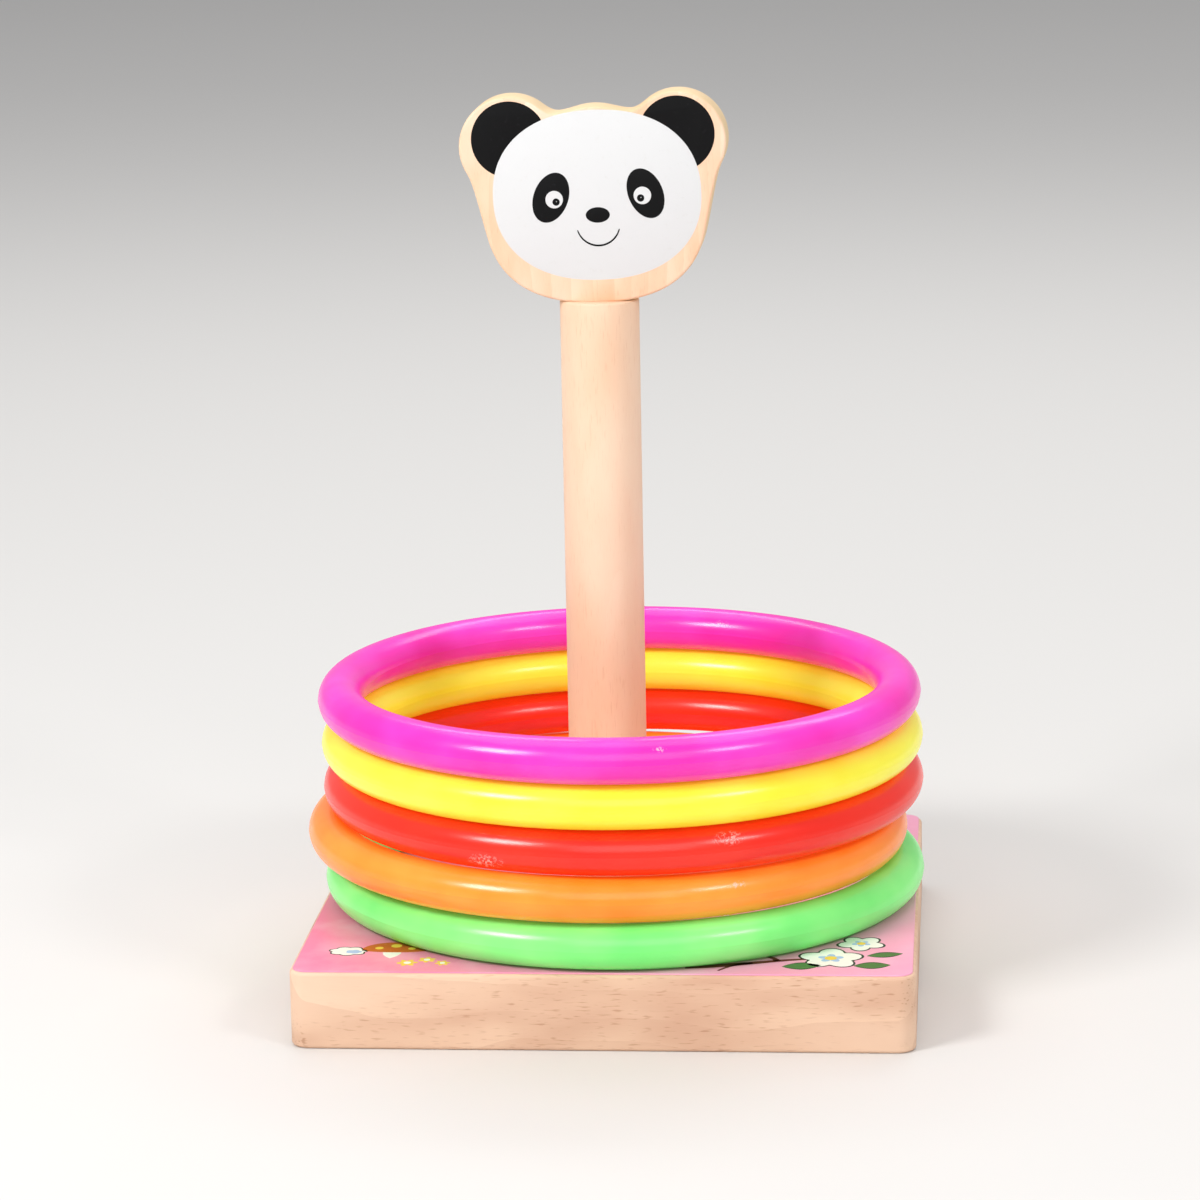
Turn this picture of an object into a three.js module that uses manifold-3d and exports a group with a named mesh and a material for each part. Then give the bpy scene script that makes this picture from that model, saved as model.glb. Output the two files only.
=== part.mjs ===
// A ring toss set: a wooden board, a round post with a flat panda head on top,
// and five hollow plastic rings stacked round the post.
// Millimetres, +Z up. The head faces -Y. The pieces are placed from the middle of the board's underside,
// and at the end the set is moved so that its origin is under the middle of its footprint.
import * as THREE from "three";
import { mergeVertices } from "three/addons/utils/BufferGeometryUtils.js";
import Module from "manifold-3d";

// Board and its printed top sheet.
const boardWidth = 150;
const boardDepth = 145;
const boardThickness = 19;
const boardCornerRadius = 4.5;
const woodBevel = 0.6;
const sheetThickness = 0.3;
const sheetMargin = 0.8;
const fitGap = 0.3;

// Post.
const postDiameter = 19.6;
const postLength = 160;
const socketDepth = 8.5;
const postOffsetX = -3.2;
const postBottomZ = boardThickness - socketDepth;
const postTopZ = postBottomZ + postLength;

// Wood screw that pulls the post down into its socket.
const screwHeadZ = 1;
const screwLength = 30;
const screwHeadRadius = 4;
const screwHeadHeight = 2.8;
const screwRimHeight = 0.4;
const screwShankRadius = 1.6;
const threadRadius = 2;
const threadDepth = 0.55;
const threadPitch = 2;
const threadLength = 19;
const driveSlotLength = 4.4;
const driveSlotWidth = 1;
const driveSlotDepth = 1.4;
const pilotClearance = 1;

// Dowel pin between the post and the head.
const pinRadius = 3;
const pinLength = 28;
const pinChamfer = 0.8;
const pinDepthInHead = 12;
const pinHoleRadiusInHead = 3.5;
const pinEndGap = 0.5;

// Panda head: an outline that is the same on both sides, cut from a board and printed in front.
const headThickness = 12;
const headTilt = THREE.MathUtils.degToRad(1.5);
const headShiftX = 0.4;
const chinSeatDepth = 0.4;
const chin = { z: 0, reach: 13.5 };
const jaw = [22.6, 4.2];
const cheek = [26.1, 14.5];
const temple = [27.9, 20.5];
const ear = { x: 20.5, z: 38.9, radius: 12.2, fromDegrees: -30, toDegrees: 128 };
const earReach = { below: 3.8, above: 2 };
const valley = { x: 8.9, z: 46.5, outerReach: 1.4, innerReach: 2.5 };
const crown = { z: 48, reach: 3.6 };

// Prints on the head, measured from the middle line of the printed face.
const printThickness = 0.3;
const printShiftX = 1.05;
const face = { z: 26.55, halfWidth: 25.5, halfHeight: 20.8, power: 2.25 };
const earPrint = { x: 20.45, z: 40.8, radius: 9.3, shiftX: -0.45 };
const eyePatch = { x: 11.6, z: 26.25, halfWidth: 4.25, halfHeight: 6.35, leanDegrees: 22.5 };
const nose = { z: 21.7, halfWidth: 2.95, halfHeight: 1.9 };
const smile = { z: 19.5, radius: 5.3, width: 0.45, endDegrees: 15 };

// Rings, from the bottom of the stack up. x and y are where each one lies on the stack. A ring that lies off
// the middle of the one below tips until it meets it: leanX and leanY are degrees down towards +X and +Y.
const ringCentreRadius = 70.2;
const tubeRadius = 5.65;
const tubeWall = 1.2;
const stackGap = 0.08;
const blowHoleRadius = 1.1;
const rings = [
  { name: "ring_green", colour: 0x7de86a, x: 0.5, y: 1.5, leanX: 0, leanY: 0 },
  { name: "ring_orange", colour: 0xfb9a2c, x: -3.6, y: 1.6, leanX: 0.5, leanY: 0 },
  { name: "ring_red", colour: 0xf53a26, x: 0.4, y: 2.8, leanX: 0, leanY: -0.16 },
  { name: "ring_yellow", colour: 0xfae72e, x: 0.3, y: 2.2, leanX: 0, leanY: -0.16 },
  { name: "ring_magenta", colour: 0xf43ec8, x: -0.2, y: 1.2, leanX: 0, leanY: -0.16 },
];

const material = {
  wood: new THREE.MeshStandardMaterial({ color: 0xf0cfa8, roughness: 0.7, metalness: 0 }),
  postWood: new THREE.MeshStandardMaterial({ color: 0xf8dcbc, roughness: 0.65, metalness: 0 }),
  pinWood: new THREE.MeshStandardMaterial({ color: 0xe2bd8c, roughness: 0.75, metalness: 0 }),
  steel: new THREE.MeshStandardMaterial({ color: 0xb9bcc0, roughness: 0.35, metalness: 1 }),
  pinkPrint: new THREE.MeshStandardMaterial({ color: 0xf7a6cb, roughness: 0.45, metalness: 0 }),
  whitePrint: new THREE.MeshStandardMaterial({ color: 0xf7f7f7, roughness: 0.4, metalness: 0 }),
  blackPrint: new THREE.MeshStandardMaterial({ color: 0x1c1c1c, roughness: 0.4, metalness: 0 }),
};

const wasm = await Module();
wasm.setup();

function solidOf(geometry) {
  const bare = geometry.index ? geometry.toNonIndexed() : geometry.clone();
  bare.deleteAttribute("normal");
  bare.deleteAttribute("uv");
  const merged = mergeVertices(bare, 1e-4);
  const mesh = new wasm.Mesh({
    numProp: 3,
    vertProperties: merged.attributes.position.array,
    triVerts: new Uint32Array(merged.index.array),
  });
  return new wasm.Manifold(mesh);
}

function geometryOf(solid) {
  const mesh = solid.getMesh();
  const indexed = new THREE.BufferGeometry();
  indexed.setAttribute("position", new THREE.BufferAttribute(mesh.vertProperties, 3));
  indexed.setIndex(new THREE.BufferAttribute(mesh.triVerts, 1));
  const geometry = indexed.toNonIndexed();
  geometry.computeVertexNormals();
  return geometry;
}

function cut(geometry, ...cutters) {
  return geometryOf(cutters.reduce((left, cutter) => left.subtract(solidOf(cutter)), solidOf(geometry)));
}

// Turns a profile of [radius, height] points round the Z axis.
function turned(profile, segments) {
  const points = profile.map(([radius, height]) => new THREE.Vector2(radius, height));
  return new THREE.LatheGeometry(points, segments).rotateX(Math.PI / 2);
}

function uprightCylinder(radius, fromZ, toZ, segments) {
  return new THREE.CylinderGeometry(radius, radius, toZ - fromZ, segments)
    .rotateX(Math.PI / 2)
    .translate(0, 0, (fromZ + toZ) / 2);
}

// Extrudes an outline so that its bevelled edges stay inside the outline and the thickness.
function bevelled(shape, thickness, curveSegments) {
  return new THREE.ExtrudeGeometry(shape, {
    depth: thickness - 2 * woodBevel,
    bevelThickness: woodBevel,
    bevelSize: woodBevel,
    bevelOffset: -woodBevel,
    bevelSegments: 1,
    curveSegments,
  }).translate(0, 0, woodBevel);
}

// Stands a sheet drawn in the XY plane upright, so that it faces -Y with its back at backY.
function facingFront(geometry, backY) {
  return geometry.rotateX(Math.PI / 2).translate(0, backY, 0);
}

function place(name, geometry, look, x = 0, y = 0, z = 0) {
  const mesh = new THREE.Mesh(geometry, look);
  mesh.name = name;
  mesh.position.set(x, y, z);
  return mesh;
}

// The board's outline, drawn in by a margin on every side.
function boardOutline(margin) {
  const x = boardWidth / 2 - boardCornerRadius;
  const y = boardDepth / 2 - boardCornerRadius;
  const radius = boardCornerRadius - margin;
  const shape = new THREE.Shape();
  shape.absarc(x, y, radius, 0, Math.PI / 2);
  shape.absarc(-x, y, radius, Math.PI / 2, Math.PI);
  shape.absarc(-x, -y, radius, Math.PI, 1.5 * Math.PI);
  shape.absarc(x, -y, radius, 1.5 * Math.PI, 2 * Math.PI);
  return shape;
}

// The board is open to the post's socket above, and below to the screw's countersunk hole.
function boardGeometry() {
  const block = bevelled(boardOutline(0), boardThickness, 5);
  const socketRadius = postDiameter / 2 + fitGap;
  const socket = uprightCylinder(socketRadius, postBottomZ, boardThickness + 1, 48);
  const holeRadius = threadRadius + fitGap;
  const headHoleRadius = screwHeadRadius + 2 * fitGap;
  const countersinkZ = screwHeadZ + fitGap;
  const screwHole = turned(
    [
      [0, -1],
      [headHoleRadius, -1],
      [headHoleRadius, countersinkZ],
      [holeRadius, countersinkZ + screwHeadHeight],
      [holeRadius, postBottomZ + 1],
      [0, postBottomZ + 1],
    ],
    32,
  );
  return cut(block, socket.translate(postOffsetX, 0, 0), screwHole.translate(postOffsetX, 0, 0));
}

function topSheetGeometry() {
  const sheet = boardOutline(sheetMargin);
  const postHole = new THREE.Path();
  postHole.absarc(postOffsetX, 0, postDiameter / 2 + fitGap, 0, 2 * Math.PI, true);
  sheet.holes.push(postHole);
  return new THREE.ExtrudeGeometry(sheet, { depth: sheetThickness, bevelEnabled: false, curveSegments: 24 });
}

// The post has a pilot hole for the screw at its foot and a hole for the dowel pin at its top.
function postGeometry() {
  const radius = postDiameter / 2;
  const pilotRadius = threadRadius + fitGap;
  const pilotTop = screwHeadZ + screwLength + pilotClearance - postBottomZ;
  const pinHoleRadius = pinRadius + fitGap;
  const pinHoleFloor = postLength - (pinLength - pinDepthInHead) - pinEndGap;
  return turned(
    [
      [0, pilotTop],
      [pilotRadius, pilotTop],
      [pilotRadius, 0],
      [radius - woodBevel, 0],
      [radius, woodBevel],
      [radius, postLength - woodBevel],
      [radius - woodBevel, postLength],
      [pinHoleRadius, postLength],
      [pinHoleRadius, pinHoleFloor],
      [0, pinHoleFloor],
    ],
    48,
  );
}

// A countersunk wood screw with its head down. Each turn of the thread is a ridge round the core.
function screwGeometry() {
  const coreRadius = threadRadius - threadDepth;
  const threadStart = screwLength - threadLength - threadPitch;
  const profile = [
    [0, 0],
    [screwHeadRadius, 0],
    [screwHeadRadius, screwRimHeight],
    [screwShankRadius, screwHeadHeight],
    [screwShankRadius, threadStart],
  ];
  for (let z = threadStart; z < screwLength - threadPitch; z += threadPitch) {
    profile.push([coreRadius, z + 0.3 * threadPitch]);
    profile.push([threadRadius, z + 0.65 * threadPitch]);
    profile.push([coreRadius, z + threadPitch]);
  }
  profile.push([0, screwLength]);
  const slotHeight = 2 * driveSlotDepth;
  const slotAlongX = new THREE.BoxGeometry(driveSlotLength, driveSlotWidth, slotHeight);
  const slotAlongY = new THREE.BoxGeometry(driveSlotWidth, driveSlotLength, slotHeight);
  return cut(turned(profile, 20), slotAlongX, slotAlongY);
}

function pinGeometry() {
  return turned(
    [
      [0, 0],
      [pinRadius - pinChamfer, 0],
      [pinRadius, pinChamfer],
      [pinRadius, pinLength - pinChamfer],
      [pinRadius - pinChamfer, pinLength],
      [0, pinLength],
    ],
    24,
  );
}

// Half of the head's outline from the chin up to the crown. side is 1 on the right and -1 on the left.
// Each curve has its start, two handles and its end, and the ear between them is an arc.
function headHalf(side) {
  const earFrom = THREE.MathUtils.degToRad(ear.fromDegrees);
  const earTo = THREE.MathUtils.degToRad(ear.toDegrees);
  const onEar = (angle, reach) => [
    ear.x + ear.radius * Math.cos(angle) - reach * Math.sin(angle),
    ear.z + ear.radius * Math.sin(angle) + reach * Math.cos(angle),
  ];
  const curve = (...corners) =>
    new THREE.CubicBezierCurve(...corners.map(([x, z]) => new THREE.Vector2(x, z))).getPoints(8);
  const cheekCurve = curve([0, chin.z], [chin.reach, chin.z], jaw, cheek);
  const templeCurve = curve(cheek, temple, onEar(earFrom, -earReach.below), onEar(earFrom, 0));
  const earArc = new THREE.EllipseCurve(ear.x, ear.z, ear.radius, ear.radius, earFrom, earTo).getPoints(18);
  const outsideValley = [valley.x + valley.outerReach, valley.z];
  const insideValley = [valley.x - valley.innerReach, valley.z];
  const valleyFloor = [valley.x, valley.z];
  const earFoot = curve(onEar(earTo, 0), onEar(earTo, earReach.above), outsideValley, valleyFloor);
  const brow = curve(valleyFloor, insideValley, [crown.reach, crown.z], [0, crown.z]);
  const points = [cheekCurve, templeCurve, earArc, earFoot, brow].flat();
  return points.map((point) => new THREE.Vector2(side * point.x + headShiftX, point.y));
}

function headOutline() {
  const points = [...headHalf(1), ...headHalf(-1).reverse()];
  const distinct = points.filter((point, i) => point.distanceTo(points.at(i - 1)) > 0.01);
  return new THREE.Shape(distinct);
}

// The seat under the chin and the pin's hole are upright, so they are turned against the head's tilt.
function headGeometry() {
  const plaque = facingFront(bevelled(headOutline(), headThickness, 1), headThickness / 2);
  const seatSide = 2 * cheek[0];
  const seat = new THREE.BoxGeometry(seatSide, seatSide, seatSide)
    .translate(0, 0, chinSeatDepth - seatSide / 2)
    .rotateY(headTilt);
  const holeTop = chinSeatDepth + pinDepthInHead + pinEndGap;
  const pinHole = uprightCylinder(pinHoleRadiusInHead, -1, holeTop, 24).rotateY(headTilt);
  return cut(plaque, seat, pinHole);
}

function ellipse(halfWidth, halfHeight) {
  const shape = new THREE.Shape();
  shape.absellipse(0, 0, halfWidth, halfHeight, 0, 2 * Math.PI);
  return shape;
}

// A superellipse: fuller at its corners than an ellipse.
function faceOutline(grow) {
  const points = [];
  const steps = 64;
  for (let i = 0; i < steps; i += 1) {
    const angle = (2 * Math.PI * i) / steps;
    const bulge = (value) => Math.sign(value) * Math.abs(value) ** (2 / face.power);
    const x = (face.halfWidth + grow) * bulge(Math.cos(angle));
    const z = (face.halfHeight + grow) * bulge(Math.sin(angle));
    points.push(new THREE.Vector2(x, face.z + z));
  }
  return new THREE.Shape(points);
}

function sheetOf(shape, curveSegments = 16) {
  return new THREE.ExtrudeGeometry(shape, { depth: printThickness, bevelEnabled: false, curveSegments });
}

// A round ear print that stops short of the white face.
function earPrintGeometry(side) {
  const discX = side * earPrint.x + earPrint.shiftX;
  const disc = sheetOf(ellipse(earPrint.radius, earPrint.radius)).translate(discX, earPrint.z, 0);
  const faceArea = sheetOf(faceOutline(fitGap)).scale(1, 1, 3).translate(0, 0, -printThickness);
  return cut(disc, faceArea);
}

function eyePatchGeometry(side) {
  const lean = THREE.MathUtils.degToRad(eyePatch.leanDegrees);
  return sheetOf(ellipse(eyePatch.halfWidth, eyePatch.halfHeight))
    .rotateZ(side * lean)
    .translate(side * eyePatch.x, eyePatch.z, 0);
}

function noseGeometry() {
  return sheetOf(ellipse(nose.halfWidth, nose.halfHeight)).translate(0, nose.z, 0);
}

function smileGeometry() {
  const end = THREE.MathUtils.degToRad(smile.endDegrees);
  const shape = new THREE.Shape();
  shape.absarc(0, smile.z, smile.radius + smile.width / 2, Math.PI + end, 2 * Math.PI - end);
  shape.absarc(0, smile.z, smile.radius - smile.width / 2, 2 * Math.PI - end, Math.PI + end, true);
  return sheetOf(shape);
}

// The head turns about the chin. Its marks lie on the printed face, and the rest on the wood.
function pandaHead() {
  const head = new THREE.Group();
  head.position.set(postOffsetX, 0, postTopZ - chinSeatDepth);
  head.rotation.y = -headTilt;
  head.add(place("head_plaque", headGeometry(), material.wood));
  const onWood = -headThickness / 2;
  const onFace = onWood - printThickness;
  const print = (name, sheet, backY, look) =>
    head.add(place(name, facingFront(sheet, backY), look, printShiftX));
  print("face_print", sheetOf(faceOutline(0)), onWood, material.whitePrint);
  for (const [sideName, side] of [["left", -1], ["right", 1]]) {
    print(`ear_print_${sideName}`, earPrintGeometry(side), onWood, material.blackPrint);
    print(`eye_patch_${sideName}`, eyePatchGeometry(side), onFace, material.blackPrint);
  }
  print("nose_print", noseGeometry(), onFace, material.blackPrint);
  print("smile_print", smileGeometry(), onFace, material.blackPrint);
  return head;
}

// A hollow blow-moulded ring. The small hole on its inside, at the back, is where it was blown.
function ringGeometry() {
  const outside = new THREE.TorusGeometry(ringCentreRadius, tubeRadius, 12, 40);
  const hollow = new THREE.TorusGeometry(ringCentreRadius, tubeRadius - tubeWall, 8, 40);
  const reach = 2 * tubeWall + 1;
  const blowHole = new THREE.CylinderGeometry(blowHoleRadius, blowHoleRadius, reach, 12);
  blowHole.translate(0, ringCentreRadius - tubeRadius + tubeWall / 2, 0);
  return cut(outside, hollow, blowHole);
}

// How far a ring's middle lies above the middle of the one below when their tubes meet somewhere.
function riseOver(below, ring) {
  const reach = 2 * tubeRadius + stackGap;
  const slope = (upper, lower) =>
    Math.tan(THREE.MathUtils.degToRad(upper)) - Math.tan(THREE.MathUtils.degToRad(lower));
  const slopeX = slope(ring.leanX, below.leanX);
  const slopeY = slope(ring.leanY, below.leanY);
  let rise = 0;
  for (let degrees = 0; degrees < 360; degrees += 1) {
    const toX = Math.cos(THREE.MathUtils.degToRad(degrees));
    const toY = Math.sin(THREE.MathUtils.degToRad(degrees));
    const aside = (ring.x - below.x) * toX + (ring.y - below.y) * toY;
    const fall = ringCentreRadius * (slopeX * toX + slopeY * toY);
    rise = Math.max(rise, Math.sqrt(reach ** 2 - aside ** 2) + fall);
  }
  return rise;
}

function ringStack() {
  const stack = new THREE.Group();
  let z = boardThickness + sheetThickness + stackGap + tubeRadius;
  rings.forEach((ring, level) => {
    if (level > 0) z += riseOver(rings[level - 1], ring);
    const plastic = new THREE.MeshStandardMaterial({ color: ring.colour, roughness: 0.25, metalness: 0 });
    const leaning = ringGeometry()
      .rotateX(-THREE.MathUtils.degToRad(ring.leanY))
      .rotateY(THREE.MathUtils.degToRad(ring.leanX));
    stack.add(place(ring.name, leaning, plastic, ring.x, ring.y, z));
  });
  return stack;
}

const set = new THREE.Group();
set.add(place("base_block", boardGeometry(), material.wood));
set.add(place("base_top_print", topSheetGeometry(), material.pinkPrint, 0, 0, boardThickness));
set.add(place("post", postGeometry(), material.postWood, postOffsetX, 0, postBottomZ));
set.add(place("post_screw", screwGeometry(), material.steel, postOffsetX, 0, screwHeadZ));
const pinZ = postTopZ + pinDepthInHead - pinLength;
set.add(place("head_dowel_pin", pinGeometry(), material.pinWood, postOffsetX, 0, pinZ));
set.add(pandaHead());
set.add(ringStack());

// Some of the rings reach further out than the board.
const ringRadius = ringCentreRadius + tubeRadius;
const footprint = new THREE.Box2(
  new THREE.Vector2(-boardWidth / 2, -boardDepth / 2),
  new THREE.Vector2(boardWidth / 2, boardDepth / 2),
);
for (const ring of rings) {
  footprint.expandByPoint(new THREE.Vector2(ring.x - ringRadius, ring.y - ringRadius));
  footprint.expandByPoint(new THREE.Vector2(ring.x + ringRadius, ring.y + ringRadius));
}
const footprintMiddle = footprint.getCenter(new THREE.Vector2());
set.position.set(-footprintMiddle.x, -footprintMiddle.y, 0);

export default set;
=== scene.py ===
# Ring toss set: beech board with a printed sheet, turned post, flat panda head, five hollow plastic rings.
import functools
import math
import random

import bmesh
import bpy
from mathutils import Matrix, Vector, geometry, noise


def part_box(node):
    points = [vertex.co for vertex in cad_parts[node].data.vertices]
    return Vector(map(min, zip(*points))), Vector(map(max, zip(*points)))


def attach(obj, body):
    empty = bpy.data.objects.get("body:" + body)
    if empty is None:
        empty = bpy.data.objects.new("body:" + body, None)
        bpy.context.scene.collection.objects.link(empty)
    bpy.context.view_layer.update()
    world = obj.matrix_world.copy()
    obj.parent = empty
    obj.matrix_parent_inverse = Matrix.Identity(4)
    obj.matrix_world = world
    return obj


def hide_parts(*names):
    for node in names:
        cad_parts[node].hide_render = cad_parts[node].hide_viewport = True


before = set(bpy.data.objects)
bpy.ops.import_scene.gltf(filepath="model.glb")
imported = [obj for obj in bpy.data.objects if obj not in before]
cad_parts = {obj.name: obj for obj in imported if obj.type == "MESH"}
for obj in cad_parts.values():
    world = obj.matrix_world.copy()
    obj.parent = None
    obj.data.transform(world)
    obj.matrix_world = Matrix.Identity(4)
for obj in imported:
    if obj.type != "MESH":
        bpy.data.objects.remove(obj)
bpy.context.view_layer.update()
mm = 0.001
scene = bpy.context.scene

# sockets of a Mix node that mixes colours
mixFrom, mixTo, mixResult = 6, 7, 2


def linear(hexColour):
    channels = [int(hexColour[i:i + 2], 16) / 255 for i in (1, 3, 5)]
    return [c / 12.92 if c <= 0.04045 else ((c + 0.055) / 1.055) ** 2.4 for c in channels] + [1]


# settings: attributes, sockets by name or number, or a ramp's stops. links: from a socket to its source.
def addNode(tree, kind, settings=None, links=None):
    node = tree.nodes.new("ShaderNode" + kind)
    for name, value in (settings or {}).items():
        if name == "stops":
            elements = node.color_ramp.elements
            elements[0].position, elements[-1].position = value[0][0], value[-1][0]
            for position, _ in value[1:-1]:
                elements.new(position)
            for element, (_, colour) in zip(elements, value):
                element.color = linear(colour)
        elif isinstance(name, str) and hasattr(node, name):
            setattr(node, name, value)
        else:
            node.inputs[name].default_value = value
    for socket, source in (links or {}).items():
        if not isinstance(source, bpy.types.NodeSocket):
            source = source.outputs[0]
        tree.links.new(source, node.inputs[socket])
    return node


# a new material, and addNode for its own tree
def newMaterial(name):
    material = bpy.data.materials.new(name)
    material.use_nodes = True
    material.node_tree.nodes.clear()
    return material, functools.partial(addNode, material.node_tree)


# a noise texture's scale, for a pattern this many millimetres long
def perMetre(millimetres):
    return 1000 / millimetres


# Beech, sanded. Lengths are in mm, along and across the grain: the slow wander of the growth rings, broad
# patches of darker and paler wood, ray flecks, and fibres. heart is where the middle of the tree was.
# edgeShow is how much paler the sawn edge round an outline is.
beech = {
    "grainTurn": (0, math.pi / 2, 0), "wanderLong": 110, "wanderWide": 45, "wanderBy": 14, "ringShow": 0.3,
    "patch": 26, "fibreLong": 7, "fibreWide": 0.3, "relief": 0.08, "edge": "#ecd2a0", "edgeShow": 0,
}
# Sawn and planed: pinkish tan, with faint growth rings and short darker flecks along the grain.
boardWood = beech | {
    "grainTurn": (0, 0, 0), "heart": (0, 30, -34), "ringSpacing": 4.2,
    "pale": "#f2d0b4", "middle": "#e9c4a7", "deep": "#d0a388",
    "fleckLength": 3.6, "fleckWidth": 0.5, "fleck": "#b27e5e", "fleckShow": 0.6,
    "roughness": (0.5, 0.66), "bump": 0.35,
}
# Turned on a lathe: even and pale, with long faint streaks.
postWood = beech | {
    "heart": (0, 34, 21), "ringSpacing": 4.2, "ringShow": 0.12,
    "pale": "#f7e0c5", "middle": "#f5d5b8", "deep": "#f0c7a6",
    "fleckLength": 3.5, "fleckWidth": 0.3, "fleck": "#d9a37c", "fleckShow": 0.28,
    "roughness": (0.45, 0.6), "bump": 0.25,
}
# Sawn to the head's outline: warm peach in front, and yellower where the saw went through.
headWood = beech | {
    "heart": (-170, 12, 30), "ringSpacing": 3.6, "patch": 18, "edgeShow": 0.75,
    "pale": "#f9ddc4", "middle": "#f5cfb0", "deep": "#edb48c",
    "fleckLength": 2.6, "fleckWidth": 0.35, "fleck": "#e0a078", "fleckShow": 0.35,
    "roughness": (0.5, 0.64), "bump": 0.3,
}
# Plain fluted rod.
dowelWood = beech | {
    "heart": (0, 20, 12), "ringSpacing": 2.5, "patch": 12,
    "pale": "#ecd0a6", "middle": "#e0bf92", "deep": "#cfa878",
    "fleckLength": 2.5, "fleckWidth": 0.3, "fleck": "#b98c5f", "fleckShow": 0.4,
    "roughness": (0.6, 0.75), "bump": 0.4,
}


def sandedBeech(name, look):
    material, add = newMaterial(name)
    place = add("TexCoord")
    along = add("Mapping", {"Rotation": look["grainTurn"]}, {"Vector": place.outputs["Object"]})
    # the tree leaned as it grew, so its rings wander slowly along the grain
    slowScale = [perMetre(look[key]) for key in ("wanderLong", "wanderWide", "wanderWide")]
    slow = add("Mapping", {"Scale": slowScale}, {"Vector": along})
    wander = add("TexNoise", {"Scale": 1, "Detail": 2}, {"Vector": slow})
    wanderBy = look["wanderBy"] * mm
    bent = add("VectorMath", {"operation": "MULTIPLY_ADD", 1: (0, wanderBy, wanderBy)},
               {0: wander.outputs["Color"], 2: along})
    heart = [c * mm for c in look["heart"]]
    fromHeart = add("VectorMath", {"operation": "SUBTRACT", 1: heart}, {0: bent})
    # at scale 1 the wave repeats every 0.314 of a metre
    ringScale = 0.314 * perMetre(look["ringSpacing"])
    growth = add("TexWave", {"wave_type": "RINGS", "rings_direction": "X", "wave_profile": "SAW",
                             "Scale": ringScale, "Distortion": 1.2, "Detail": 3,
                             "Detail Scale": 0.6}, {"Vector": fromHeart})
    # broad patches of darker and paler wood
    stretched = add("Mapping", {"Scale": [perMetre(look["patch"] * s) for s in (2.2, 0.8, 0.8)]},
                    {"Vector": along})
    patches = add("TexNoise", {"Scale": 1, "Detail": 3, "Roughness": 0.55}, {"Vector": stretched})
    tones = [(0.3, look["pale"]), (0.5, look["middle"]), (0.74, look["deep"])]
    ground = add("ValToRGB", {"stops": tones}, {"Fac": patches})
    ringShare = add("Math", {"operation": "MULTIPLY", 1: look["ringShow"]}, {0: growth.outputs["Fac"]})
    ringed = add("Mix", {"data_type": "RGBA", mixTo: linear(look["deep"])},
                 {0: ringShare, mixFrom: ground})
    # ray flecks; on the real wood they are half as wide, too fine to show here
    fleckScale = [perMetre(look[key]) for key in ("fleckLength", "fleckWidth", "fleckWidth")]
    fine = add("Mapping", {"Scale": fleckScale}, {"Vector": along})
    speck = add("TexNoise", {"Scale": 1, "Detail": 1, "Roughness": 0.4}, {"Vector": fine})
    flecks = add("MapRange", {"From Min": 0.6, "From Max": 0.74, "To Max": look["fleckShow"]},
                 {"Value": speck})
    where = add("MapRange", {"From Min": 0.35, "From Max": 0.6}, {"Value": patches})
    fleckShare = add("Math", {"operation": "MULTIPLY"}, {0: flecks, 1: where})
    flecked = add("Mix", {"data_type": "RGBA", mixTo: linear(look["fleck"])},
                  {0: fleckShare, mixFrom: ringed.outputs[mixResult]})
    # the sawn edge round the outline is paler than the planed face
    facing = add("SeparateXYZ", {}, {0: place.outputs["Normal"]})
    flatness = add("Math", {"operation": "ABSOLUTE"}, {0: facing.outputs["Y"]})
    edge = add("MapRange", {"From Min": 0.25, "From Max": 0.85, "To Min": look["edgeShow"],
                            "To Max": 0}, {"Value": flatness})
    colour = add("Mix", {"data_type": "RGBA", mixTo: linear(look["edge"])},
                 {0: edge, mixFrom: flecked.outputs[mixResult]})
    # sanded fibres, drawn long
    fibreScale = [perMetre(look[key]) for key in ("fibreLong", "fibreWide", "fibreWide")]
    drawn = add("Mapping", {"Scale": fibreScale}, {"Vector": along})
    fibres = add("TexNoise", {"Scale": 1, "Detail": 2, "Roughness": 0.6}, {"Vector": drawn})
    relief = add("Math", {"operation": "MULTIPLY_ADD", 1: -0.5}, {0: flecks, 2: fibres})
    bump = add("Bump", {"Strength": look["bump"], "Distance": look["relief"] * mm}, {"Height": relief})
    low, high = look["roughness"]
    rough = add("MapRange", {"To Min": low, "To Max": high}, {"Value": fibres})
    shader = add("BsdfPrincipled", {"IOR": 1.5, "Specular IOR Level": 0.35},
                 {"Base Color": colour.outputs[mixResult], "Roughness": rough, "Normal": bump})
    add("OutputMaterial", {}, {"Surface": shader})
    return material


# Coated paper, offset printed, glued down and varnished: soft pink, cloudy, deeper on the left, satin.
pinkPaper = {"deepPink": "#f586ac", "palePink": "#f4a8c8", "cloud": "#f9c6da", "cloudSize": 13,
             "cloudShow": 0.35, "tooth": 0.5, "relief": 0.03, "roughness": (0.36, 0.5)}


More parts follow.
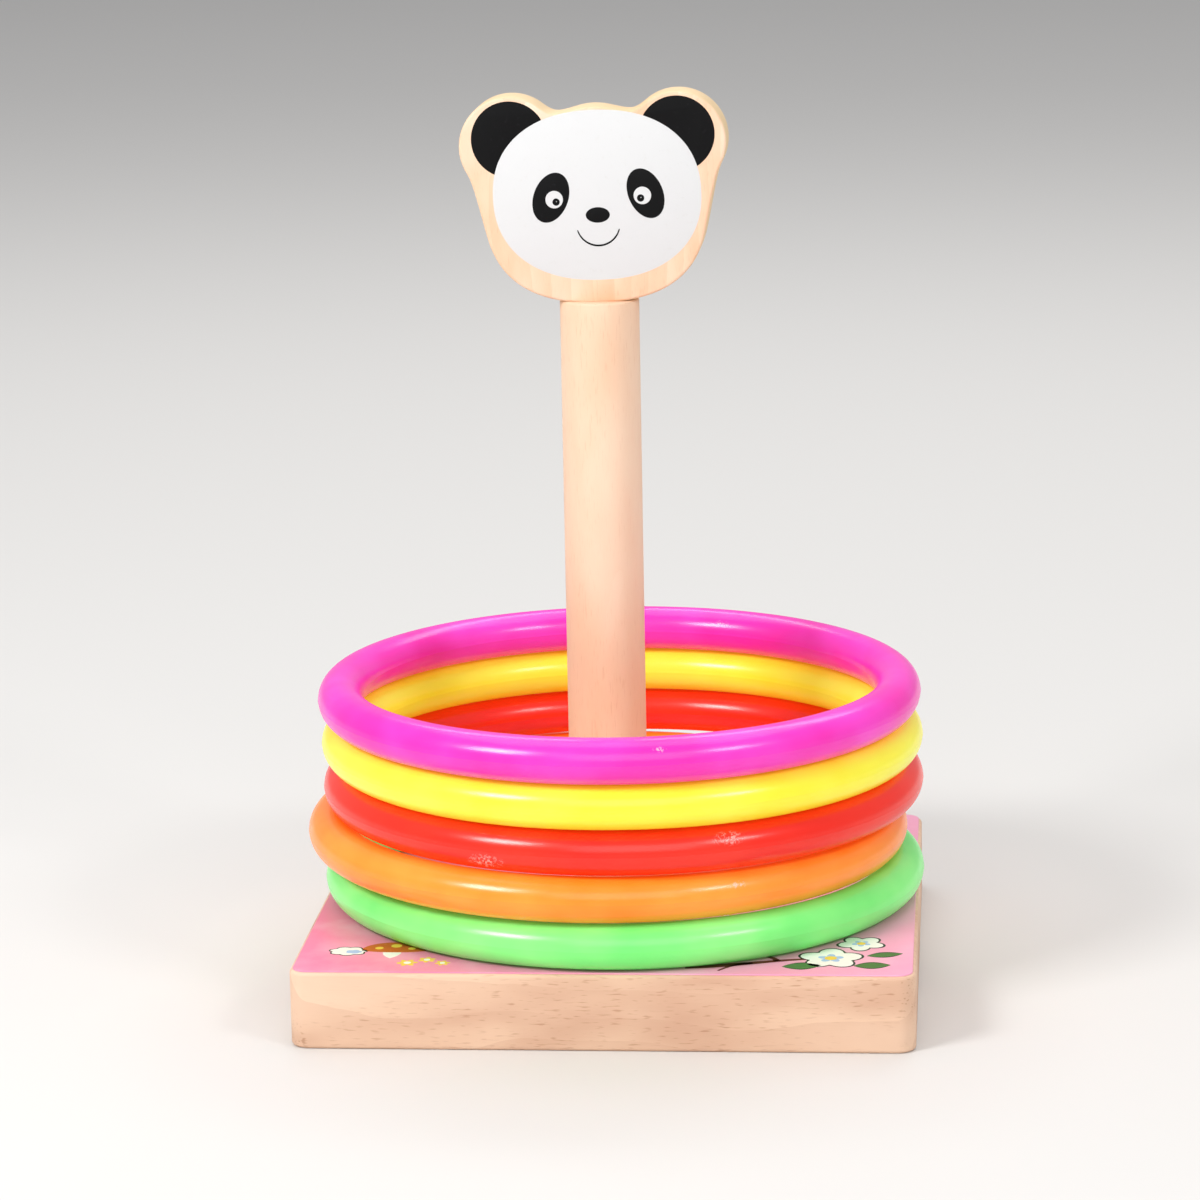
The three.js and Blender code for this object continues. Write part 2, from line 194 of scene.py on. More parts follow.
def printedPaper(name, look):
    material, add = newMaterial(name)
    place = add("TexCoord").outputs["Object"]
    parts = add("SeparateXYZ", {}, {0: place})
    across = add("MapRange", {"From Min": boardLow.x, "From Max": boardHigh.x},
                 {"Value": parts.outputs["X"]})
    tones = [(0.05, look["deepPink"]), (0.9, look["palePink"])]
    ground = add("ValToRGB", {"stops": tones}, {"Fac": across})
    cloud = add("TexNoise", {"Scale": perMetre(look["cloudSize"]), "Detail": 3}, {"Vector": place})
    share = add("MapRange", {"From Min": 0.45, "From Max": 0.7, "To Max": look["cloudShow"]},
                {"Value": cloud})
    colour = add("Mix", {"data_type": "RGBA", mixTo: linear(look["cloud"])}, {0: share, mixFrom: ground})
    # the paper's tooth under the varnish
    tooth = add("TexNoise", {"Scale": perMetre(look["tooth"]), "Detail": 2}, {"Vector": place})
    bump = add("Bump", {"Strength": 0.15, "Distance": look["relief"] * mm}, {"Height": tooth})
    low, high = look["roughness"]
    rough = add("MapRange", {"To Min": low, "To Max": high}, {"Value": tooth})
    shader = add("BsdfPrincipled", {"IOR": 1.5},
                 {"Base Color": colour.outputs[mixResult], "Roughness": rough, "Normal": bump})
    add("OutputMaterial", {}, {"Surface": shader})
    return material


# Printing ink, screened on: even and opaque, with a faint mesh ripple, satin.
# Colour, colour where it is thin, and roughness.
inks = {
    "whiteInk": ("#dbdbdb", "#d6d5d3", 0.42),
    "blackInk": ("#0f0f10", "#1d1c1e", 0.5),
    "blossomInk": ("#f4f4ec", "#dcebd6", 0.42),
    "outlineInk": ("#26382c", "#40503f", 0.42),
    "leafInk": ("#4f7a45", "#6d9460", 0.42),
    "twigInk": ("#6e2f2c", "#8a4a42", 0.42),
    "capInk": ("#c9652a", "#d98345", 0.42),
    "daisyInk": ("#f2cf52", "#f6e08a", 0.42),
    "skyInk": ("#a9c4e6", "#c6d8ee", 0.42),
}
# All of them: size of the thin spots, the mesh's ripple and its relief, in mm.
screening = {"thinSpot": 1.6, "ripple": 0.6, "relief": 0.02, "roughnessVaries": 0.06, "gloss": 0.12}


def screenedInk(name, look):
    fullColour, thinColour, roughness = look
    material, add = newMaterial(name)
    place = add("TexCoord").outputs["Object"]
    thin = add("TexNoise", {"Scale": perMetre(screening["thinSpot"]), "Detail": 4,
                            "Roughness": 0.7}, {"Vector": place})
    share = add("MapRange", {"From Min": 0.58, "From Max": 0.8}, {"Value": thin})
    colour = add("Mix", {"data_type": "RGBA", mixFrom: linear(fullColour),
                         mixTo: linear(thinColour)}, {0: share})
    # the screen's mesh is 0.1 mm; its ripple is drawn coarser so that it shows
    ripple = add("TexNoise", {"Scale": perMetre(screening["ripple"]), "Detail": 1}, {"Vector": place})
    bump = add("Bump", {"Strength": 0.12, "Distance": screening["relief"] * mm}, {"Height": ripple})
    low, high = (roughness + sign * screening["roughnessVaries"] for sign in (-1, 1))
    rough = add("MapRange", {"To Min": low, "To Max": high}, {"Value": ripple})
    shader = add("BsdfPrincipled", {"IOR": 1.48, "Specular IOR Level": screening["gloss"]},
                 {"Base Color": colour.outputs[mixResult], "Roughness": rough, "Normal": bump})
    add("OutputMaterial", {}, {"Surface": shader})
    return material


# Polyethylene with day-glow pigment, blow moulded: waxy gloss, a colour that deepens where the wall is
# thick, and pale rubbed marks, whose paleness also paints the lights' sparkle on them. The glow is a faint
# emission painted in as light, which keeps the colour bright in the shade.
# scuff marks, painted pale partly for rubbed wear and partly for the lights' sparkle on them: degrees round
# from the front, degrees up from the tube's middle, length in mm.
# lean: degrees down towards +x and +y, where a ring tips onto the one below.
rings = {
    "ring_green": {
        "colour": "#92f288", "thick": "#78e878", "paintedGlow": "#14d83a",
        "lean": (0, 0), "scuffsAndSparkles": [],
    },
    "ring_orange": {
        "colour": "#fba03c", "thick": "#f88c22", "paintedGlow": "#ff6406",
        "lean": (0.5, 0), "scuffsAndSparkles": [(29, 30, 5)],
    },
    "ring_red": {
        "colour": "#ec2c1a", "thick": "#e62014", "paintedGlow": "#ff3208",
        "lean": (0, -0.16), "scuffsAndSparkles": [(-21.5, -25, 11), (24, 33, 9)],
    },
    "ring_yellow": {
        "colour": "#f8f052", "thick": "#f5e63a", "paintedGlow": "#f4ff08",
        "lean": (0, -0.16), "scuffsAndSparkles": [],
    },
    "ring_magenta": {
        "colour": "#ee42cc", "thick": "#ea2cb4", "paintedGlow": "#ff1078",
        "lean": (0, -0.16), "scuffsAndSparkles": [(12, 40, 4), (160, 150, 5), (-168, 140, 4)],
    },
}
# All of them, with lengths in mm: wall patches, haze on the gloss, waves of the mould's skin, scratches,
# and the strength of the glow, an emission painted in as light.
plastic = {"wallPatch": 22, "haze": 3, "skin": 5, "relief": 0.05, "scratch": 0.9, "roughness": (0.2, 0.28),
           "scuffAndSparkle": "#ffe9e4", "scuffAndSparkleShow": 0.8, "scuffFlatness": 2.5, "scuffRoughness": 0.4,
           "subsurface": 0.12, "subsurfaceDepth": 2, "paintedGlow": 0.14}


def mouldedPlastic(name, look, ringPlace, ringRadius, tubeRadius):
    material, add = newMaterial(name)
    place = add("TexCoord").outputs["Object"]
    wall = add("TexNoise", {"Scale": perMetre(plastic["wallPatch"]), "Detail": 2}, {"Vector": place})
    share = add("MapRange", {"From Min": 0.35, "From Max": 0.65}, {"Value": wall})
    colour = add("Mix", {"data_type": "RGBA", mixFrom: linear(look["colour"]),
                         mixTo: linear(look["thick"])}, {0: share}).outputs[mixResult]
    haze = add("TexNoise", {"Scale": perMetre(plastic["haze"]), "Detail": 3}, {"Vector": place})
    low, high = plastic["roughness"]
    rough = add("MapRange", {"To Min": low, "To Max": high}, {"Value": haze})
    # scratches inside each scuff
    scratch = add("TexNoise", {"Scale": perMetre(plastic["scratch"]), "Detail": 4,
                               "Roughness": 0.7, "Distortion": 0.6}, {"Vector": place})
    marks = add("MapRange", {"From Min": 0.5, "From Max": 0.62}, {"Value": scratch})
    for turn, lift, length in look["scuffsAndSparkles"]:
        turn, lift = math.radians(turn), math.radians(lift)
        reach = ringRadius + tubeRadius * math.cos(lift)
        onTube = Vector((reach * math.sin(turn), -reach * math.cos(turn), tubeRadius * math.sin(lift)))
        # rubbed along the ring, so each scuff is longer than it is high
        apart = add("VectorMath", {"operation": "SUBTRACT", 1: ringPlace @ onTube}, {0: place})
        drawn = add("VectorMath", {"operation": "MULTIPLY", 1: (1, 1, plastic["scuffFlatness"])},
                    {0: apart})
        away = add("VectorMath", {"operation": "LENGTH"}, {0: drawn})
        near = add("MapRange", {"From Min": length * mm / 2, "From Max": 0,
                                "To Max": plastic["scuffAndSparkleShow"]}, {"Value": away.outputs["Value"]})
        # each mark is painted pale: partly rubbed wear, partly a painted highlight for the sparkle of the
        # light that falls there
        scuffAndSparkleShare = add("Math", {"operation": "MULTIPLY"}, {0: marks, 1: near})
        colour = add("Mix", {"data_type": "RGBA", mixTo: linear(plastic["scuffAndSparkle"])},
                     {0: scuffAndSparkleShare, mixFrom: colour}).outputs[mixResult]
        rough = add("Math", {"operation": "MULTIPLY_ADD", 1: plastic["scuffRoughness"]},
                    {0: scuffAndSparkleShare, 2: rough})
    # the mould's skin has shallow waves
    skin = add("TexNoise", {"Scale": perMetre(plastic["skin"]), "Detail": 1}, {"Vector": place})
    bump = add("Bump", {"Strength": 0.2, "Distance": plastic["relief"] * mm}, {"Height": skin})
    # the emission is painted light: a glow that keeps the plastic bright in its own shade
    shader = add("BsdfPrincipled", {
        "IOR": 1.52, "Subsurface Weight": plastic["subsurface"], "Subsurface Radius": (1, 0.6, 0.6),
        "Subsurface Scale": plastic["subsurfaceDepth"] * mm, "Emission Color": linear(look["paintedGlow"]),
        "Emission Strength": plastic["paintedGlow"],
    }, {"Base Color": colour, "Roughness": rough, "Normal": bump})
    add("OutputMaterial", {}, {"Surface": shader})
    return material


# Carbon steel screw, zinc plated: bright grey with a light cloudy bloom.
zincPlate = {"bright": "#c9cdd2", "bloom": "#a7acb2", "bloomSize": 1.2, "relief": 0.02,
             "roughness": (0.28, 0.42)}


def platedSteel(name, look):
    material, add = newMaterial(name)
    place = add("TexCoord").outputs["Object"]
    bloom = add("TexNoise", {"Scale": perMetre(look["bloomSize"]), "Detail": 4}, {"Vector": place})
    tones = [(0.35, look["bright"]), (0.7, look["bloom"])]
    colour = add("ValToRGB", {"stops": tones}, {"Fac": bloom})
    low, high = look["roughness"]
    rough = add("MapRange", {"To Min": low, "To Max": high}, {"Value": bloom})
    bump = add("Bump", {"Strength": 0.1, "Distance": look["relief"] * mm}, {"Height": bloom})
    shader = add("BsdfPrincipled", {"Metallic": 1},
                 {"Base Color": colour, "Roughness": rough, "Normal": bump})
    add("OutputMaterial", {}, {"Surface": shader})
    return material


# Shape helpers. Loops of points run round a piece, and neighbouring loops are stitched with faces.
def stitch(bm, lower, upper):
    count = max(len(lower), len(upper))
    for i in range(count):
        j = (i + 1) % count
        below = [lower[i % len(lower)], lower[j % len(lower)]]
        above = [upper[j % len(upper)], upper[i % len(upper)]]
        # a loop of one point gives triangles
        bm.faces.new(list(dict.fromkeys(below + above)))


def lofted(loops, closed=False, capped=False):
    bm = bmesh.new()
    rows = [[bm.verts.new(point) for point in loop] for loop in loops]
    for lower, upper in zip(rows, rows[1:]):
        stitch(bm, lower, upper)
    if closed:
        stitch(bm, rows[-1], rows[0])
    if capped:
        bm.faces.new(rows[0][::-1])
        bm.faces.new(rows[-1])
    return bm


def circle(middle, radius, z, angles):
    return [Vector((middle.x + radius * math.cos(a), middle.y + radius * math.sin(a), z)) for a in angles]


def evenAngles(count):
    return [2 * math.pi * i / count for i in range(count)]


# Turns a profile of (radius, height) round an upright axis. relief(angle, height) is added to the radius.
def turned(profile, middle, segments, relief=None):
    loops = []
    for radius, z in profile:
        loop = []
        for a in evenAngles(segments if radius > 0 else 1):
            r = radius + (relief(a, z) if relief and radius > 0 else 0)
            loop.append(Vector((middle.x + r * math.cos(a), middle.y + r * math.sin(a), z)))
        loops.append(loop)
    return lofted(loops)


# A corner rounded off, from the side to the end face: how far in from the side, how far from the end.
def rounded(radius, steps=4):
    return [(radius * (1 - math.cos(t)), radius * (1 - math.sin(t)))
            for t in [math.pi / 2 * i / steps for i in range(steps + 1)]]


def linked(name, bm):
    mesh = bpy.data.meshes.new(name)
    bm.to_mesh(mesh)
    bm.free()
    thing = bpy.data.objects.new(name, mesh)
    scene.collection.objects.link(thing)
    return thing


def joined(*shapes):
    whole = bmesh.new()
    for shape in shapes:
        mesh = bpy.data.meshes.new("part")
        shape.to_mesh(mesh)
        shape.free()
        whole.from_mesh(mesh)
        bpy.data.meshes.remove(mesh)
    return whole


def cutAway(bm, *cutters):
    whole = linked("whole", bm)
    tools = [linked("tool", cutter) for cutter in cutters]
    for tool in tools:
        cut = whole.modifiers.new("cut", "BOOLEAN")
        cut.object = tool
        cut.operation = "DIFFERENCE"
        cut.solver = "EXACT"
    result = bmesh.new()
    result.from_object(whole, bpy.context.evaluated_depsgraph_get())
    for thing in [whole, *tools]:
        bpy.data.objects.remove(thing)
    # slivers that the cuts leave are closed up
    sliver = 0.004 * mm
    bmesh.ops.triangulate(result, faces=[face for face in result.faces if len(face.verts) > 4])
    bmesh.ops.remove_doubles(result, verts=result.verts, dist=sliver)
    bmesh.ops.dissolve_degenerate(result, dist=sliver, edges=result.edges)
    return result


def finishPiece(name, bm, material, body, nodes=(), smoothUnder=35):
    bmesh.ops.recalc_face_normals(bm, faces=bm.faces)
    piece = linked(name, bm)
    piece.data.materials.append(material)
    piece.data.shade_smooth()
    piece.data.set_sharp_from_angle(angle=math.radians(smoothUnder))
    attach(piece, body)
    if nodes:
        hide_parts(*nodes)


stand = "stand"
boardLow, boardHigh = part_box("base_block")
boardMiddle = (boardLow + boardHigh) / 2
postLow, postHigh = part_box("post")
postMiddle = (postLow + postHigh) / 2
postRadius = (postHigh.x - postLow.x) / 2

# Board, in mm: every arris and corner is sanded round by hand, so the roundness varies a little.
board = {"cornerRadius": 4.5, "leastCorner": 0.2, "arris": 0.9, "arrisVaries": 0.25, "variesOver": 22,
         "sideSteps": 24, "cornerSteps": 12, "fitGap": 0.3, "socketArris": 0.3, "screwHole": 2.3,
         "screwHeadHole": 4.6, "screwHeadFrom": 1.3, "screwHeadHeight": 2.8, "holeArris": 0.2}


def boardLoop(inset, z):
    halfX = (boardHigh.x - boardLow.x) / 2 - inset
    halfY = (boardHigh.y - boardLow.y) / 2 - inset
    corner = max(board["cornerRadius"] * mm - inset, board["leastCorner"] * mm)
    signs = [(1, 1), (-1, 1), (-1, -1), (1, -1)]
    points = []
    for quarter, (signX, signY) in enumerate(signs):
        heart = Vector((signX * (halfX - corner), signY * (halfY - corner), 0))
        for i in range(board["cornerSteps"] + 1):
            a = math.pi / 2 * (quarter + i / board["cornerSteps"])
            points.append(heart + corner * Vector((math.cos(a), math.sin(a), 0)))
        nextX, nextY = signs[(quarter + 1) % 4]
        following = Vector((nextX * (halfX - corner), nextY * (halfY - corner), 0))
        outward = Vector((math.cos(a), math.sin(a), 0)) * corner
        for i in range(1, board["sideSteps"]):
            points.append(heart.lerp(following, i / board["sideSteps"]) + outward)
    return [Vector((boardMiddle.x + p.x, boardMiddle.y + p.y, z)) for p in points]


# share is how much of the uneven sanding reaches this loop, from 0 on the side to 1 on the face
def sandedLoop(inset, z, share):
    worn = []
    for point in boardLoop(inset, z):
        towards = (Vector((boardMiddle.x, boardMiddle.y, z)) - point).normalized()
        more = 0.5 + 0.5 * noise.noise(point * perMetre(board["variesOver"]))
        worn.append(point + towards * share * more * board["arrisVaries"] * mm)
    return worn


# the direction of each point of the board's outline, seen from the post, so that the holes' points match it
def anglesFromPost(inset):
    return [math.atan2(p.y - postMiddle.y, p.x - postMiddle.x) for p in boardLoop(inset, 0)]


def makeBoard():
    arris = board["arris"] * mm
    roundover = rounded(arris)
    outside = [sandedLoop(inset, boardLow.z + up, 1 - up / arris) for inset, up in reversed(roundover)]
    outside += [sandedLoop(inset, boardHigh.z - down, 1 - down / arris) for inset, down in roundover]
    socket, socketArris = postRadius + board["fitGap"] * mm, board["socketArris"] * mm
    hole, headHole, holeArris = (board[key] * mm for key in ("screwHole", "screwHeadHole", "holeArris"))
    headFrom = boardLow.z + board["screwHeadFrom"] * mm
    # down the post's socket, and on down the screw's countersunk hole
    holes = [
        (socket + socketArris, boardHigh.z), (socket, boardHigh.z - socketArris), (socket, postLow.z),
        (hole, postLow.z), (hole, headFrom + board["screwHeadHeight"] * mm), (headHole, headFrom),
        (headHole, boardLow.z + holeArris), (headHole + holeArris, boardLow.z),
    ]
    angles = anglesFromPost(0)
    inside = [circle(postMiddle, radius, z, angles) for radius, z in holes]
    bm = lofted(outside + inside, closed=True)
    wood = sandedBeech("plainBeechBoard", boardWood)
    finishPiece("board", bm, wood, stand, ["base_block"])


makeBoard()
print("board made")

# Top sheet, in mm: paper on the board, a little smaller than it, with a soft edge.
sheet = {"margin": 0.8, "softEdge": 0.12}
sheetLow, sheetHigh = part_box("base_top_print")


def makeSheet():
    margin, soft = sheet["margin"] * mm, sheet["softEdge"] * mm
    hole = postRadius + board["fitGap"] * mm
    angles = anglesFromPost(margin)
    loops = [
        boardLoop(margin, sheetLow.z),
        boardLoop(margin, sheetHigh.z - soft),
        boardLoop(margin + soft, sheetHigh.z),
        circle(postMiddle, hole + soft, sheetHigh.z, angles),
        circle(postMiddle, hole, sheetHigh.z - soft, angles),
        circle(postMiddle, hole, sheetLow.z, angles),
    ]
    bm = lofted(loops, closed=True)
    paper = printedPaper("varnishedPinkPaper", pinkPaper)
    finishPiece("top_sheet", bm, paper, stand, ["base_top_print"])


makeSheet()

# Motifs printed on the sheet, in mm from the board's middle: flowers, leaves, twigs, toadstools and clouds.
# A later layer lies on an earlier one. A flower's turn is in radians, and a leaf's in degrees.
motifInk = {"layer": 0.012, "softEdge": 0.02}
garden = {ink: [] for ink in
          ("blossomInk", "outlineInk", "leafInk", "twigInk", "capInk", "daisyInk", "skyInk")}


def flower(x, y, radius, petals, notch, turn=0, squash=1):
    points = []
    for a in evenAngles(14 * petals):
        r = radius * (1 - notch * (1 - abs(math.cos(petals * (a - turn) / 2))))
        points.append((x + r * math.cos(a), y + squash * r * math.sin(a)))
    return points


def leaf(x, y, length, width, turn):
    turn = math.radians(turn)
    steps = 12
    upper = []
    for i in range(steps + 1):
        upper.append((length * i / steps, width / 2 * math.sin(math.pi * i / steps) ** 0.85))
    outline = upper + [(along, -across) for along, across in upper[-2:0:-1]]
    return [(x + a * math.cos(turn) - b * math.sin(turn), y + a * math.sin(turn) + b * math.cos(turn))
            for a, b in outline]


def twig(points, width):
    count = 14
    line = geometry.interpolate_bezier(*[Vector(p) for p in points], count)
    left, right = [], []
    for i, p in enumerate(line):
        way = (line[min(i + 1, count - 1)] - line[max(i - 1, 0)]).normalized()
        half = width / 2 * (1 - 0.6 * i / (count - 1))
        left.append((p.x - way.y * half, p.y + way.x * half))
        right.append((p.x + way.y * half, p.y - way.x * half))
    return left + right[::-1]


def paint(ink, layer, outline):
    garden[ink].append((layer, outline))


def blossom(x, y, radius, turn=0.3):
    paint("outlineInk", 1, flower(x, y, radius + 0.6, 5, 0.3, turn))
    paint("blossomInk", 2, flower(x, y, radius, 5, 0.34, turn))
    paint("skyInk", 3, flower(x, y, radius * 0.42, 5, 0.5, turn))
    paint("daisyInk", 4, flower(x, y, radius * 0.2, 1, 0))


def sprig(x, y, length, width, turn):
    paint("outlineInk", 1, leaf(x, y, length, width, turn))
    paint("leafInk", 2, leaf(x, y, length, width - 1, turn))


def daisy(x, y, radius, turn=0):
    paint("daisyInk", 2, flower(x, y, radius, 6, 0.5, turn))
    paint("blossomInk", 3, flower(x, y, radius * 0.36, 1, 0))


def toadstool(x, y, size):
    paint("blossomInk", 1, leaf(x - 0.02 * size, y - 0.62 * size, 0.85 * size, 0.42 * size, 90))
    cap = []
    for a in evenAngles(40):
        height = 0.62 if math.sin(a) > 0 else 0.16
        cap.append((x + 0.75 * size * math.cos(a), y + height * size * math.sin(a)))
    paint("capInk", 2, cap)
    for right, up, spot in [(-0.36, 0.16, 0.1), (0.02, 0.34, 0.13), (0.4, 0.14, 0.09)]:
        paint("daisyInk", 3, flower(x + right * size, y + up * size, spot * size, 1, 0))


def cloudlet(x, y, size):
    paint("outlineInk", 1, flower(x, y, size + 0.4, 7, 0.16, 0.2, 0.75))
    paint("blossomInk", 2, flower(x, y, size, 7, 0.18, 0.2, 0.72))
    paint("skyInk", 3, flower(x + 0.3 * size, y - 0.1 * size, size * 0.45, 5, 0.2, 0, 0.7))


def paintFrontCorners():
    cloudlet(-62.5, -55.5, 4.6)
    toadstool(-51.5, -54.5, 10.5)
    for x, y, radius in [(-47, -64.5, 2.6), (-42.5, -62, 2.2), (-38.5, -64.5, 1.9)]:
        # each is turned differently
        daisy(x, y, radius, turn=x)
    paint("twigInk", 1, twig([(20, -66), (30, -66), (38, -61), (50, -59)], 3))
    paint("twigInk", 1, twig([(36, -63), (32, -63), (30, -66), (28, -69)], 1.6))
    paint("twigInk", 1, twig([(42, -61), (40, -57), (38, -56), (34, -55)], 1.6))
    blossom(54.5, -58.5, 7.6)
    blossom(61.5, -46.5, 5.6, 0.9)
    sprig(43, -65.5, 9.5, 5.6, 8)
    sprig(60, -64.5, 9, 5.4, 6)
    sprig(63, -56.5, 9, 4.4, 14)
    sprig(50, -47, 8, 4, 150)


def paintBackCorners():
    toadstool(58, 55, 10)
    daisy(47, 52, 2.6)
    daisy(66, 45, 2.4)
    blossom(-58, 56, 7)
    sprig(-50, 51, 9, 3.2, -12)
    sprig(-66, 49, 8, 2.8, -100)
    cloudlet(-20, 62, 5)
    cloudlet(24, 60, 4.4)


# The rest is scattered, clear of the post and of what is already there. Each miss may be the last try.
scatter = {"seed": 11, "halfWidth": 66, "halfDepth": 63, "apart": 13, "most": 42, "lastTry": 0.01,
           "post": (-3.2, 0), "clearOfPost": 18}
cornerSpots = [(-62, -56), (-51, -56), (-42, -62), (30, -62), (42, -60), (54, -60), (62, -48), (60, -65),
               (58, 55), (47, 52), (66, 45), (-58, 56), (-50, 50), (-66, 45), (-20, 62), (24, 60)]


def paintScattered():
    random.seed(scatter["seed"])
    taken = list(cornerSpots)
    while len(taken) < len(cornerSpots) + scatter["most"]:
        x = random.uniform(-scatter["halfWidth"], scatter["halfWidth"])
        y = random.uniform(-scatter["halfDepth"], scatter["halfDepth"])
        crowded = min(math.dist((x, y), other) for other in taken) < scatter["apart"]
        if crowded or math.dist((x, y), scatter["post"]) < scatter["clearOfPost"]:
            if random.random() < scatter["lastTry"]:
                break
            continue
        taken.append((x, y))
        turn = random.uniform(0, 360)
        kind = len(taken) % 4
        if kind == 0:
            blossom(x, y, 4.2, turn)
        elif kind == 2:
            sprig(x, y, 8, 3, turn)
        else:
            daisy(x, y, 3 if kind == 1 else 2.2, turn)


def makeMotifs():
    for ink, outlines in garden.items():
        bm = bmesh.new()
        for layer, outline in outlines:
            high = sheetHigh.z + layer * motifInk["layer"] * mm
            middle = Vector((sum(p[0] for p in outline), sum(p[1] for p in outline))) / len(outline)
            foot, top = [], []
            for x, y in outline:
                foot.append(bm.verts.new((boardMiddle.x + x * mm, boardMiddle.y + y * mm, sheetHigh.z)))
                inward = (middle - Vector((x, y))).normalized() * motifInk["softEdge"]
                topX, topY = x + inward.x, y + inward.y
                top.append(bm.verts.new((boardMiddle.x + topX * mm, boardMiddle.y + topY * mm, high)))
            stitch(bm, foot, top)
            bm.faces.new(foot[::-1])
            bm.faces.new(top)
        name = ink.removesuffix("Ink")
        finish = screenedInk("offset" + name.capitalize() + "Ink", inks[ink])
        finishPiece("motifs_" + name, bm, finish, stand)


paintFrontCorners()
paintBackCorners()
paintScattered()
makeMotifs()
print("sheet and its motifs made")

# Post, in mm: a turned rod with softened ends, a pilot hole for the screw and a hole for the dowel pin.
post = {"arris": 0.6, "pilotHole": 2.3, "pilotDepth": 21.5, "pinHole": 3.3, "pinHoleDepth": 16.5,
        "turningRipple": 0.03, "rippleEvery": 9, "shaftSteps": 40, "segments": 96}


def makePost():
    arris = post["arris"] * mm
    roundover = rounded(arris)
    foot = [(postRadius - inset, postLow.z + rise) for inset, rise in reversed(roundover)]
    top = [(postRadius - inset, postHigh.z - drop) for inset, drop in roundover]
    length, steps = postHigh.z - postLow.z, post["shaftSteps"]
    shaft = [(postRadius, postLow.z + arris + (length - 2 * arris) * i / steps) for i in range(1, steps)]
    pilot, pin = post["pilotHole"] * mm, post["pinHole"] * mm
    pilotTop = postLow.z + post["pilotDepth"] * mm
    pinFloor = postHigh.z - post["pinHoleDepth"] * mm
    profile = [(0, pilotTop), (pilot, pilotTop), (pilot, postLow.z), *foot, *shaft, *top,
               (pin, postHigh.z), (pin, pinFloor), (0, pinFloor)]

    def ripple(angle, z):
        if not postLow.z + 2 * arris < z < postHigh.z - 2 * arris:
            return 0
        spot = Vector((math.cos(angle), math.sin(angle), z * perMetre(post["rippleEvery"])))
        return -post["turningRipple"] * mm * (0.5 + 0.5 * noise.noise(spot))

    bm = turned(profile, postMiddle, post["segments"], ripple)
    wood = sandedBeech("turnedBeechPost", postWood)
    finishPiece("turned_post", bm, wood, stand, ["post"])


makePost()

# Screw, in mm: flat head down in the board, cross recess, and a thread that runs round it.
screw = {"headHeight": 2.8, "rim": 0.4, "rimChamfer": 0.1, "shank": 1.6, "core": 1.45, "crest": 2.0,
         "pitch": 2.0, "threadFrom": 9, "threadTo": 28.4, "tip": 0.5, "slotLength": 4.4, "slotWidth": 1.0,
         "slotDepth": 1.4}
threadShape = {"rows": 180, "segments": 32, "halfRidge": 0.28}
# how far below the head a slot's cutter starts, in mm, and how it narrows from there
slotCutter = {"below": 0.5, "startSize": 1.05, "endSize": 0.7}


def slotShape(middle, z0, across):
    halfX, halfY = screw["slotLength"] * mm / 2, screw["slotWidth"] * mm / 2
    if across:
        halfX, halfY = halfY, halfX
    levels = [(slotCutter["startSize"], z0 - slotCutter["below"] * mm),
              (slotCutter["endSize"], z0 + screw["slotDepth"] * mm)]
    loops = []
    for size, z in levels:
        loops.append([Vector((middle.x + x * halfX * size, middle.y + y * halfY * size, z))
                      for x, y in [(-1, -1), (1, -1), (1, 1), (-1, 1)]])
    return lofted(loops, capped=True)


def makeScrew():
    low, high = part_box("post_screw")
    middle = (low + high) / 2
    headRadius = (high.x - low.x) / 2
    z0, s = low.z, {key: value * mm for key, value in screw.items()}
    rows, threadLength = threadShape["rows"], s["threadTo"] - s["threadFrom"]
    profile = [
        (0, z0), (headRadius - s["rimChamfer"], z0), (headRadius, z0 + s["rimChamfer"]),
        (headRadius, z0 + s["rim"]), (s["shank"], z0 + s["headHeight"]), (s["shank"], z0 + s["threadFrom"]),
    ]
    profile += [(s["core"], z0 + s["threadFrom"] + threadLength * i / rows) for i in range(1, rows + 1)]
    profile += [(s["core"] * 0.5, high.z - s["tip"]), (0, high.z)]

    def thread(angle, z):
        along = z - z0 - s["threadFrom"]
        if not 0 < along <= threadLength:
            return 0
        phase = (along / s["pitch"] - angle / (2 * math.pi)) % 1
        ridge = max(0, 1 - abs(phase - 0.5) / threadShape["halfRidge"])
        fade = min(1, along / s["pitch"], (threadLength - along) / s["pitch"])
        return (s["crest"] - s["core"]) * ridge * fade

    bm = turned(profile, middle, threadShape["segments"], thread)
    bm = cutAway(bm, slotShape(middle, z0, False), slotShape(middle, z0, True))
    steel = platedSteel("zincPlatedSteel", zincPlate)
    finishPiece("wood_screw", bm, steel, stand, ["post_screw"], 30)


makeScrew()

# Dowel pin, in mm: fluted, so that the glue can spread, with chamfered ends.
dowel = {"chamfer": 0.8, "flutes": 16, "fluteDepth": 0.22}


def makeDowel():
    low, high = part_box("head_dowel_pin")
    radius = (high.x - low.x) / 2
    chamfer = dowel["chamfer"] * mm
    profile = [(0, low.z), (radius - chamfer, low.z), (radius, low.z + chamfer), (radius, high.z - chamfer),
               (radius - chamfer, high.z), (0, high.z)]

    def flute(angle, z):
        return -dowel["fluteDepth"] * mm * (0.5 - 0.5 * math.cos(dowel["flutes"] * angle)) ** 2

    bm = turned(profile, (low + high) / 2, dowel["flutes"] * 8, flute)
    wood = sandedBeech("flutedBeechDowel", dowelWood)
    finishPiece("dowel_pin", bm, wood, stand, ["head_dowel_pin"])


makeDowel()
print("post, screw and dowel made")

